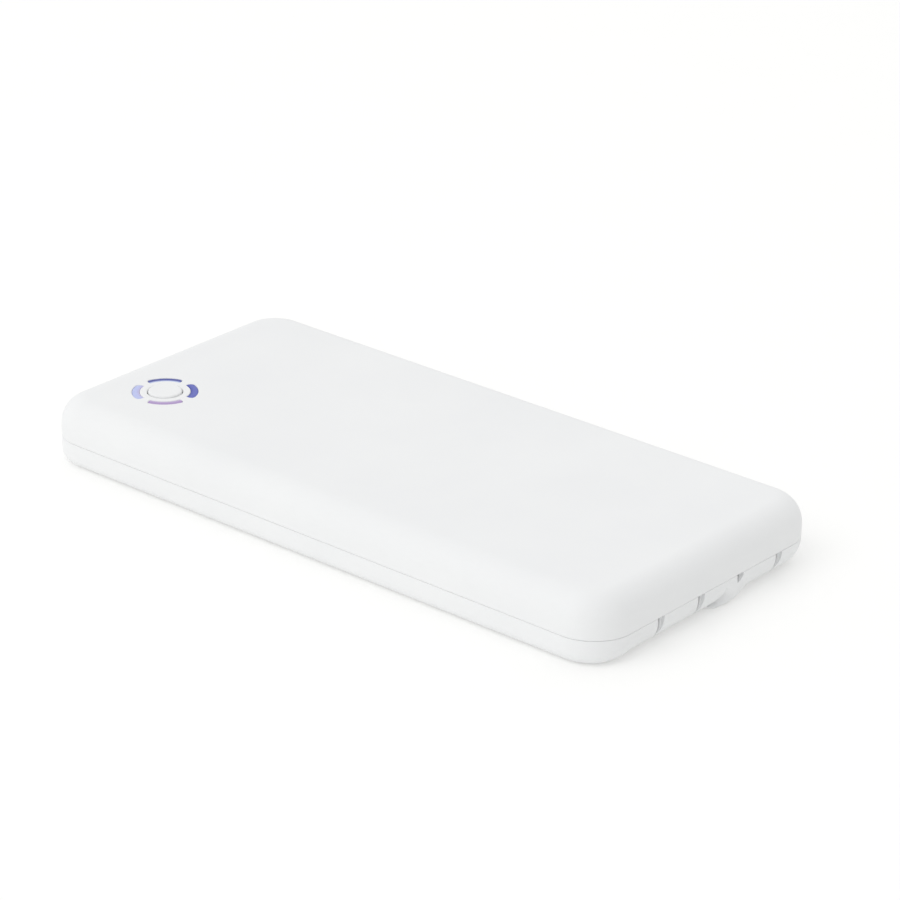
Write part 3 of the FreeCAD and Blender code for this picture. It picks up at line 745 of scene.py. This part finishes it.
# %% [markdown]
# ## Light guide
#
# Under the face lies a ring of frosted plastic. Four arcs of it rise into the windows and four legs reach
# down to the small lights on the board. Each arc is a section of radius and height swept through an angle;
# the section has rounded upper corners, which catch a thin line of light along the window's edge.


# %% Sweep round the button
def swept_arc(profile, middle, half_span, steps, end_drop=0):
    """A closed profile of radius and height swept through an angle round the button, with both ends closed.
    Its outer half may fall off by a drop for each step, which rounds the outer corners."""
    turn = middle + half_span * np.linspace(-1, 1, steps)
    radius, height = np.asarray(profile, float).T
    shape = (steps, len(radius))
    outer_half = radius > (radius.min() + radius.max()) / 2
    radius = radius - np.broadcast_to(end_drop, steps)[:, None] * outer_half
    points = np.stack([button_centre[0] + np.cos(turn)[:, None] * radius,
                       button_centre[1] + np.sin(turn)[:, None] * radius,
                       np.broadcast_to(height, shape)], axis=-1)
    ends = [list(range(shape[1])), list(range((shape[0] - 1) * shape[1], shape[0] * shape[1]))]
    return points.reshape(-1, 3), grid_faces(*shape) + ends


# %% Sections of the light guide
guide_low, guide_high = box_mm("light_guide")
arc_inner = 5.15
arc_outer = 6.6
arc_edge = 0.15
guide_top = guide_high[2]
base_thickness = 0.7
base_low = ceiling_height - base_thickness
base_inner = 4.85
base_outer = (guide_high[0] - guide_low[0]) / 2
arc_profile = [(arc_inner, base_low), (arc_outer, base_low)]
arc_profile += [(arc_outer - arc_edge * (1 - math.cos(t)), guide_top - arc_edge * (1 - math.sin(t)))
                for t in quarter_turns(5)]
arc_profile += [(arc_inner + arc_edge * (1 - math.sin(t)), guide_top - arc_edge * (1 - math.cos(t)))
                for t in quarter_turns(5)]
leg_profile = [(arc_inner, guide_low[2]), (arc_outer, guide_low[2]), (arc_outer, ceiling_height),
               (arc_inner, ceiling_height)]
base_profile = [(base_inner, base_low), (base_outer, base_low), (base_outer, ceiling_height),
                (base_inner, ceiling_height)]
print("arc section with", len(arc_profile), "points")

# %% Light guide
arc_half_span = math.radians(34.5)
arc_steps = 90
leg_half_span = math.radians(10)
leg_steps = 12
arc_drop = corner_drop(arc_half_span * np.linspace(-1, 1, arc_steps), arc_half_span, arc_outer)
guide_shapes = [revolved(base_profile, button_centre, round_steps, rows_close=True)]
for middle in arc_angles:
    guide_shapes.append(swept_arc(arc_profile, middle, arc_half_span, arc_steps, arc_drop))
    guide_shapes.append(swept_arc(leg_profile, middle, leg_half_span, leg_steps))
light_guide = make_piece("light_ring", gathered(guide_shapes), "case", "light_guide")

# %% [markdown]
# ## Finishes
#
# Colours are given as the hex values a painter would pick and turned to the linear values that the shader
# needs. One small function adds a node, sets it and links it. Pattern sizes are given in millimetres:
# Object coordinates are in metres, so a pattern of that size repeats one over its size in metres.


# %% Colour and node helpers
def linear(code):
    """An sRGB hex colour as linear red, green, blue and alpha."""
    value = np.array([int(code[i:i + 2], 16) for i in (1, 3, 5)]) / 255
    value = np.where(value <= 0.04045, value / 12.92, ((value + 0.055) / 1.055) ** 2.4)
    return (*value.tolist(), 1.0)


def per_metre(size_mm):
    """Pattern scale whose features are a size in millimetres."""
    return 1 / (size_mm * MM)


def add(tree, kind, feeds=None, **settings):
    """Add one node: set its own properties, then give inputs a value or link them to another node."""
    node = tree.nodes.new(kind)
    for name, value in settings.items():
        setattr(node, name, value)
    for place, value in (feeds or {}).items():
        if isinstance(value, bpy.types.NodeSocket):
            tree.links.new(value, node.inputs[place])
        else:
            node.inputs[place].default_value = value
    return node


def new_finish(name):
    """An empty material and the socket of its Object coordinates."""
    material = bpy.data.materials.new(name)
    material.use_nodes = True
    material.node_tree.nodes.clear()
    place = add(material.node_tree, "ShaderNodeTexCoord").outputs["Object"]
    return material, material.node_tree, place


def give(material, *pieces):
    """Put one material on each piece."""
    for piece in pieces:
        piece.data.materials.clear()
        piece.data.materials.append(material)
    print(material.name, "on", ", ".join(piece.name for piece in pieces))


# %% [markdown]
# ### White ABS
#
# The covers and the button are moulded in white ABS with a satin, lightly spark-eroded tool surface. To the
# eye it is an even white with broad soft highlights. The grain of the tool is a fraction of a millimetre,
# too fine to show at this distance, so it is drawn at half a millimetre and kept very low; a slow mottle
# changes the gloss a little.

# %% White ABS
mottle_mm = 18
noise_low, noise_high = 0.3, 0.7


def moulded_plastic(name, pale, deep, rough, grain_mm, grain_height_mm, **shader):
    """Moulded plastic: a slow mottle in colour and gloss over a fine tool grain."""
    material, tree, place = new_finish(name)
    mottle = add(tree, "ShaderNodeTexNoise", {"Vector": place, "Scale": per_metre(mottle_mm), "Detail": 3.0})
    colour = add(tree, "ShaderNodeMix", {0: mottle.outputs["Fac"], 6: linear(pale), 7: linear(deep)},
                 data_type="RGBA")
    gloss = add(tree, "ShaderNodeMapRange", {
        "Value": mottle.outputs["Fac"], "From Min": noise_low, "From Max": noise_high,
        "To Min": rough[0], "To Max": rough[1]})
    grain = add(tree, "ShaderNodeTexNoise", {"Vector": place, "Scale": per_metre(grain_mm), "Detail": 2.0})
    bump = add(tree, "ShaderNodeBump", {"Height": grain.outputs["Fac"], "Distance": grain_height_mm * MM})
    surface = add(tree, "ShaderNodeBsdfPrincipled", {
        "Base Color": colour.outputs[2], "Roughness": gloss.outputs["Result"],
        "Normal": bump.outputs["Normal"], **shader})
    add(tree, "ShaderNodeOutputMaterial", {"Surface": surface.outputs["BSDF"]})
    return material


white_abs = moulded_plastic("white_abs_satin", "#F1F2F2", "#ECEDEE",
                            rough=(0.55, 0.63), grain_mm=0.5, grain_height_mm=0.004,
                            **{"IOR": 1.54, "Specular IOR Level": 0.25})
give(white_abs, top_cover, bottom_cover, button)

# %% [markdown]
# ### Frosted polycarbonate
#
# The four arcs are the top of the light guide, a clear plastic with a frosted face, lit blue from below. Each
# arc's colour also holds painted light: a painted highlight or painted shade chosen by where the arc lies
# round the button as the eye sees it, violet near the eye, pale blue at the left, deep blue at the right, and
# at the back deep blue outside and pale within, where a painted highlight lies. A radial gradient picks one
# tint for each arc, and the distance from the button mixes its outer and inner tone. The frost is finer than
# the render shows, so it is drawn at 0.3 mm and kept low.

# %% Frosted polycarbonate
# Tints of the arcs, with painted highlight and painted shade that depend on each arc's side as the eye sees
# it.
outer_tints_with_painted_light = ("#B9C1EA", "#AC94C4", "#6068B8", "#464F9C")
inner_tints_with_painted_light = ("#BBB6DE", "#CBBFDA", "#4E56A6", "#CDD6F2")
# Shares of a full turn, counted from -X, at which the quarter of each arc starts.
arc_starts = (0.0, 0.25, 0.5, 0.75)
inner_tone_mm, outer_tone_mm = 5.2, 5.8
frost_mm = 0.3
frost_depth_mm = 0.004


def frosted_guide():
    """Frosted guide: colour by angle round the button, with painted highlight and painted shade, mixed from
    outer to inner tone by distance.
    """
    material, tree, place = new_finish("frosted_polycarbonate_glow_and_painted_light")
    centred = add(tree, "ShaderNodeMapping", {"Vector": place, "Location": (*(-button_centre * MM), 0)})
    turn = add(tree, "ShaderNodeTexGradient", {"Vector": centred.outputs["Vector"]}, gradient_type="RADIAL")
    tones = []
    for tints in (outer_tints_with_painted_light, inner_tints_with_painted_light):
        ramp = add(tree, "ShaderNodeValToRGB", {"Fac": turn.outputs["Fac"]})
        ramp.color_ramp.interpolation = "CONSTANT"
        for start in arc_starts[1:3]:
            ramp.color_ramp.elements.new(start)
        for element, start, tint in zip(ramp.color_ramp.elements, arc_starts, tints):
            element.position = start
            element.color = linear(tint)
        tones.append(ramp.outputs["Color"])
    flat = add(tree, "ShaderNodeVectorMath", {0: centred.outputs["Vector"], 1: (1, 1, 0)},
               operation="MULTIPLY")
    away = add(tree, "ShaderNodeVectorMath", {0: flat.outputs["Vector"]}, operation="LENGTH")
    share = add(tree, "ShaderNodeMapRange", {"Value": away.outputs["Value"], "From Min": inner_tone_mm * MM,
                                             "From Max": outer_tone_mm * MM})
    colour = add(tree, "ShaderNodeMix", {0: share.outputs["Result"], 6: tones[1], 7: tones[0]},
                 data_type="RGBA")
    frost = add(tree, "ShaderNodeTexNoise", {"Vector": place, "Scale": per_metre(frost_mm), "Detail": 2.0})
    bump = add(tree, "ShaderNodeBump", {"Height": frost.outputs["Fac"], "Distance": frost_depth_mm * MM})
    # The weak glow takes the same colour, its painted highlight and painted shade included.
    surface = add(tree, "ShaderNodeBsdfPrincipled", {
        "Base Color": colour.outputs[2], "Roughness": 0.4, "IOR": 1.58, "Specular IOR Level": 0.2,
        "Normal": bump.outputs["Normal"], "Emission Color": colour.outputs[2], "Emission Strength": 0.04})
    add(tree, "ShaderNodeOutputMaterial", {"Surface": surface.outputs["BSDF"]})
    return material


give(frosted_guide(), light_guide)

# %% [markdown]
# ## Inside
#
# The inner parts are hidden in the finished case, but each has its real finish, so that the case can be
# opened in another picture. Most finishes are one pattern that shifts the colour, the gloss and a low
# relief together, as a real surface does: where a rolled sheet is scratched it is also duller.


# %% One pattern, one finish
def dress(material, tree, pattern, pale, deep, rough, relief_mm, **shader):
    """Finish a material from one pattern of 0 to 1, which mixes two colours, two gloss values and relief."""
    colour = add(tree, "ShaderNodeMix", {0: pattern, 6: linear(pale), 7: linear(deep)}, data_type="RGBA")
    gloss = add(tree, "ShaderNodeMapRange", {"Value": pattern, "To Min": rough[0], "To Max": rough[1]})
    bump = add(tree, "ShaderNodeBump", {"Height": pattern, "Distance": relief_mm * MM})
    surface = add(tree, "ShaderNodeBsdfPrincipled", {
        "Base Color": colour.outputs[2], "Roughness": gloss.outputs["Result"],
        "Normal": bump.outputs["Normal"], **shader})
    add(tree, "ShaderNodeOutputMaterial", {"Surface": surface.outputs["BSDF"]})
    return material


def clouded(name, pale, deep, size_mm, rough, relief_mm, stretch=(1, 1, 1), **shader):
    """A cloudy pattern of a size, drawn out by a factor along an axis where rolling or drawing did that."""
    material, tree, place = new_finish(name)
    squeeze = tuple(1 / factor for factor in stretch)
    drawn = add(tree, "ShaderNodeMapping", {"Vector": place, "Scale": squeeze})
    cloud = add(tree, "ShaderNodeTexNoise", {"Vector": drawn.outputs["Vector"], "Scale": per_metre(size_mm),
                                             "Detail": 3.0})
    return dress(material, tree, cloud.outputs["Fac"], pale, deep, rough, relief_mm, **shader)


# %% [markdown]
# ### Circuit board
#
# The board is glass-fibre laminate under a screen-printed green mask. The copper tracks show through the
# mask as slightly raised, paler lines. A brick pattern draws them: its joints are the tracks, a fifth of a
# millimetre wide.

# %% Circuit board
track_half_width_mm, track_length_mm, track_spacing_mm = 0.1, 5.0, 1.1
board_finish, tree, place = new_finish("solder_mask_screen_printed")
tracks = add(tree, "ShaderNodeTexBrick", {
    "Vector": place, "Scale": per_metre(1), "Mortar Size": track_half_width_mm, "Mortar Smooth": 0.3,
    "Brick Width": track_length_mm, "Row Height": track_spacing_mm})
give(dress(board_finish, tree, tracks.outputs["Fac"], "#1D6239", "#2F8852",
           rough=(0.3, 0.22), relief_mm=0.03), nodes["circuit_board"])

# %% [markdown]
# The screws are turned steel with a bright zinc coat, which clouds softly in patches of about a millimetre.
# The chips are moulded in black epoxy filled with fine glass, so they look matt and a little grainy.

# %% Screws and chips
zinc_steel = clouded("zinc_plated_steel_turned", "#C6CACF", "#A8ADB4",
                     size_mm=0.8, rough=(0.26, 0.4), relief_mm=0.002, Metallic=1.0)
give(zinc_steel, nodes["board_screws"])
chip_epoxy = moulded_plastic("glass_filled_epoxy_moulded", "#1C1D1F", "#28292C",
                             rough=(0.5, 0.62), grain_mm=0.3, grain_height_mm=0.006, IOR=1.55)
give(chip_epoxy, nodes["control_chips"])

# %% [markdown]
# The capacitors are bars of tan ceramic with tinned ends. The row lies along X, so the distance from the
# row's middle line tells ceramic from tin. The lights under the ring are cast in clear resin, yellow with
# phosphor.

# %% Capacitors and lights
row_low, row_high = box_mm("capacitors")
tinned_length = 0.55
ceramic, tree, place = new_finish("barium_titanate_ceramic_fired")
parts = add(tree, "ShaderNodeSeparateXYZ", {"Vector": place})
off_middle = add(tree, "ShaderNodeMath", {0: parts.outputs["Y"], 1: (row_low + row_high)[1] / 2 * MM},
                 operation="SUBTRACT")
apart = add(tree, "ShaderNodeMath", {0: off_middle.outputs[0]}, operation="ABSOLUTE")
tinned = add(tree, "ShaderNodeMath", {0: apart.outputs[0],
                                      1: ((row_high - row_low)[1] / 2 - tinned_length) * MM},
             operation="GREATER_THAN")
give(dress(ceramic, tree, tinned.outputs[0], "#B7986B", "#CACCCE",
           rough=(0.5, 0.28), relief_mm=0.02, Metallic=tinned.outputs[0]), nodes["capacitors"])
led_resin = moulded_plastic("phosphor_resin_cast", "#F2E4A6", "#E9D589",
                            rough=(0.16, 0.26), grain_mm=0.4, grain_height_mm=0.002, IOR=1.51)
give(led_resin, nodes["indicator_leds"])

# %% [markdown]
# ### Switch and sockets
#
# The switch's base and plunger and the tongues in the sockets are black nylon with glass fibre: dull, with
# a fine speckle. The shells and the switch's plate are stamped from nickel-plated steel, which keeps faint
# streaks along the direction it was drawn in. The contacts are stamped bronze with a thin coat of gold,
# warm and bright.

# %% Switch and sockets
black_nylon = moulded_plastic("glass_filled_nylon_moulded", "#191A1C", "#232427",
                              rough=(0.42, 0.54), grain_mm=0.35, grain_height_mm=0.004, IOR=1.53)
give(black_nylon, nodes["switch_base"], nodes["switch_plunger"], nodes["usb_a_tongue"], nodes["usb_c_tongue"])
socket_steel = clouded("nickel_plated_steel_stamped", "#CCCECE", "#B0B3B5",
                       size_mm=0.25, rough=(0.2, 0.33), relief_mm=0.002, stretch=(14, 1, 1), Metallic=1.0)
give(socket_steel, nodes["usb_a_shell"], nodes["usb_c_shell"], nodes["switch_plate"])
gold_bronze = clouded("gold_plated_bronze_stamped", "#E6C270", "#D0A34A",
                      size_mm=0.3, rough=(0.18, 0.3), relief_mm=0.002, stretch=(8, 1, 1), Metallic=1.0)
give(gold_bronze, nodes["usb_a_contacts"], nodes["usb_c_contacts"])

# %% [markdown]
# ### Cell
#
# The cell is wrapped in aluminium laminate, pressed round it like a pouch, so its matt silver skin waves
# gently over some centimetres. Its tabs are rolled nickel strip with long fine scratches, the sheet under
# it is acrylic tape, and the sheet above it is rolled graphite, which has a dark sheen with streaks along
# its length.

# %% Cell, tabs, tape and graphite
cell_foil = clouded("aluminium_laminate_pressed", "#C6C9CC", "#ABAFB4",
                    size_mm=12, rough=(0.34, 0.48), relief_mm=0.05, Metallic=1.0)
give(cell_foil, nodes["battery_cell"])
nickel_strip = clouded("nickel_strip_rolled", "#BFBBB2", "#A29E96",
                       size_mm=0.2, rough=(0.24, 0.38), relief_mm=0.002, stretch=(25, 1, 1), Metallic=1.0)
give(nickel_strip, nodes["battery_tabs"])
cell_tape = clouded("acrylic_tape_slit", "#E7E1CD", "#D5CDB2",
                    size_mm=3, rough=(0.48, 0.64), relief_mm=0.01, stretch=(1, 6, 1), IOR=1.49)
give(cell_tape, nodes["battery_tape"])
graphite = clouded("graphite_sheet_rolled", "#3C3D40", "#292A2D",
                   size_mm=1.2, rough=(0.36, 0.54), relief_mm=0.006, stretch=(12, 1, 1), IOR=1.9)
give(graphite, nodes["heat_sheet"])

# %% [markdown]
# ### Coil
#
# The coil is wound flat from enamelled copper wire. Rings round its middle stand for the turns, each 0.9 mm
# wide, and the relief makes every turn catch its own line of light. The colour is painted light as well:
# painted shade dark in the hollow between turns and a painted highlight bright on each crest. Under it lies a
# plate of sintered ferrite, dark and matt with a fine crystal speckle, and both sit in a grey polycarbonate
# tray. The leads run in polyimide sleeves.

# %% Coil, ferrite, tray and leads
coil_low, coil_high = box_mm("charging_coil")
coil_centre = (coil_low + coil_high) / 2
turn_width = 0.9
# The wave pattern repeats 20 / (2 pi) times over one unit, so the scale is set against that.
ring_scale = 2 * math.pi / 20 * per_metre(turn_width)
winding, tree, place = new_finish("enamelled_copper_wound")
centred = add(tree, "ShaderNodeMapping", {"Vector": place, "Location": (*(-coil_centre[:2] * MM), 0)})
turns_seen = add(tree, "ShaderNodeTexWave", {"Vector": centred.outputs["Vector"], "Scale": ring_scale},
                 wave_type="RINGS", rings_direction="Z")
# Painted shade between the turns and a painted highlight on their crests, in the colour.
give(dress(winding, tree, turns_seen.outputs["Fac"], "#7A3A1B", "#BE6A35",
           rough=(0.42, 0.28), relief_mm=0.12, Metallic=1.0), nodes["charging_coil"])
crystal_mm = 0.6
ferrite, tree, place = new_finish("manganese_zinc_ferrite_sintered")
crystals = add(tree, "ShaderNodeTexVoronoi", {"Vector": place, "Scale": per_metre(crystal_mm)})
give(dress(ferrite, tree, crystals.outputs["Distance"], "#3D3C3F", "#29282B",
           rough=(0.6, 0.76), relief_mm=0.006), nodes["ferrite_plate"], nodes["power_inductor"])
tray_plastic = moulded_plastic("grey_polycarbonate_moulded", "#B9BDC1", "#ABB0B5",
                               rough=(0.4, 0.5), grain_mm=0.5, grain_height_mm=0.004, IOR=1.58)
give(tray_plastic, nodes["coil_tray"])
lead_sleeve = clouded("polyimide_sleeve_extruded", "#B67B2D", "#9A6421",
                      size_mm=0.6, rough=(0.24, 0.36), relief_mm=0.003, stretch=(10, 1, 1), IOR=1.7)
give(lead_sleeve, nodes["coil_leads"])

# %% [markdown]
# ## Floor, light and camera
#
# The case stands on a backlit sheet of white acrylic, the usual table for a white product: the sheet gives
# off some light of its own, so it stays white and the shadow beside the case stays pale.

# %% Floor
floor_half = 12000
floor_drop = 0.02
floor_mesh = bpy.data.meshes.new("floor")
floor_mesh.from_pydata([(x * floor_half * MM, y * floor_half * MM, -floor_drop * MM)
                        for x, y in ((-1, -1), (1, -1), (1, 1), (-1, 1))], [], [(0, 1, 2, 3)])
floor = bpy.data.objects.new("floor", floor_mesh)
bpy.context.scene.collection.objects.link(floor)
acrylic = moulded_plastic("backlit_white_acrylic", "#E4E4E3", "#E3E3E2",
                          rough=(0.8, 0.9), grain_mm=0.6, grain_height_mm=0.003,
                          **{"Emission Color": linear("#FFFFFE"), "Emission Strength": 0.235})
give(acrylic, floor)

# %% [markdown]
# A white tent hangs round the table and lights the case evenly. It is a world whose tone depends on the
# direction along X only: darker towards the notched end, so that this end looks greyer than the long side.
# The standard view transform keeps the whites as they are.

# %% Tent
tent_light = 1.055
tent_tones = ((0.0, "#E3E3E3"), (0.4, "#FFFFFF"), (0.55, "#FFFFFF"), (0.95, "#BCBCBC"))
world = bpy.data.worlds.new("studio")
bpy.context.scene.world = world
world.use_nodes = True
direction = add(world.node_tree, "ShaderNodeTexCoord").outputs["Generated"]
towards = add(world.node_tree, "ShaderNodeSeparateXYZ", {"Vector": direction})
along = add(world.node_tree, "ShaderNodeMapRange", {"Value": towards.outputs["X"], "From Min": -1.0})
tent = add(world.node_tree, "ShaderNodeValToRGB", {"Fac": along.outputs["Result"]})
for position, _ in tent_tones[1:3]:
    tent.color_ramp.elements.new(position)
for element, (position, tone) in zip(tent.color_ramp.elements, tent_tones):
    element.position = position
    element.color = linear(tone)
backdrop = world.node_tree.nodes["Background"]
backdrop.inputs["Strength"].default_value = tent_light
world.node_tree.links.new(tent.outputs["Color"], backdrop.inputs["Color"])
bpy.context.scene.view_settings.view_transform = "Standard"
print("tent with", len(tent.color_ramp.elements), "tones")

# %% [markdown]
# One weak soft lamp stands in front of the long side, high up and a little to the left. It is as wide as a
# window, so its shadow has no edge, and it lifts the face and the long side by a touch.

# %% Lamp
lamp_place_mm = Vector((-300, -1000, 1300))
lamp_width_mm = 1200
lamp_watts = 3.8
lamp = bpy.data.lights.new("key_light", "AREA")
lamp.size = lamp_width_mm * MM
lamp.energy = lamp_watts
lamp_stand = bpy.data.objects.new("key_light", lamp)
lamp_stand.location = lamp_place_mm * MM
lamp_stand.rotation_euler = (-lamp_place_mm).to_track_quat("-Z", "Y").to_euler()
bpy.context.scene.collection.objects.link(lamp_stand)
print("lamp", round(lamp_place_mm.length), "mm away")

# %% [markdown]
# The camera stands where the photograph was taken from: about 40 degrees round from the long side and 24
# degrees up, far enough away that the case's edges stay nearly parallel. Its roll of less than a degree
# was measured with the rest.

# %% Camera
azimuth = math.radians(40.327)
elevation = math.radians(24.225)
roll = math.radians(0.718)
lens_mm = 148.554
aim_mm = Vector((2.857, 5.044, 11.03))
distance_mm = 722.87
sensor_mm = 36
clip_mm = 10
back = Vector((math.sin(azimuth) * math.cos(elevation), -math.cos(azimuth) * math.cos(elevation),
               math.sin(elevation)))
aimed = (-back).to_track_quat("-Z", "Y").to_matrix().to_4x4()
camera = bpy.data.objects.new("camera", bpy.data.cameras.new("camera"))
camera.data.lens = lens_mm
camera.data.sensor_width = sensor_mm
camera.data.clip_start = clip_mm * MM
camera.matrix_world = (Matrix.Translation((aim_mm + back * distance_mm) * MM) @ aimed
                       @ Matrix.Rotation(roll, 4, "Z"))
bpy.context.scene.collection.objects.link(camera)
bpy.context.scene.camera = camera
print("camera", round(distance_mm), "mm away with a lens of", round(lens_mm), "mm")
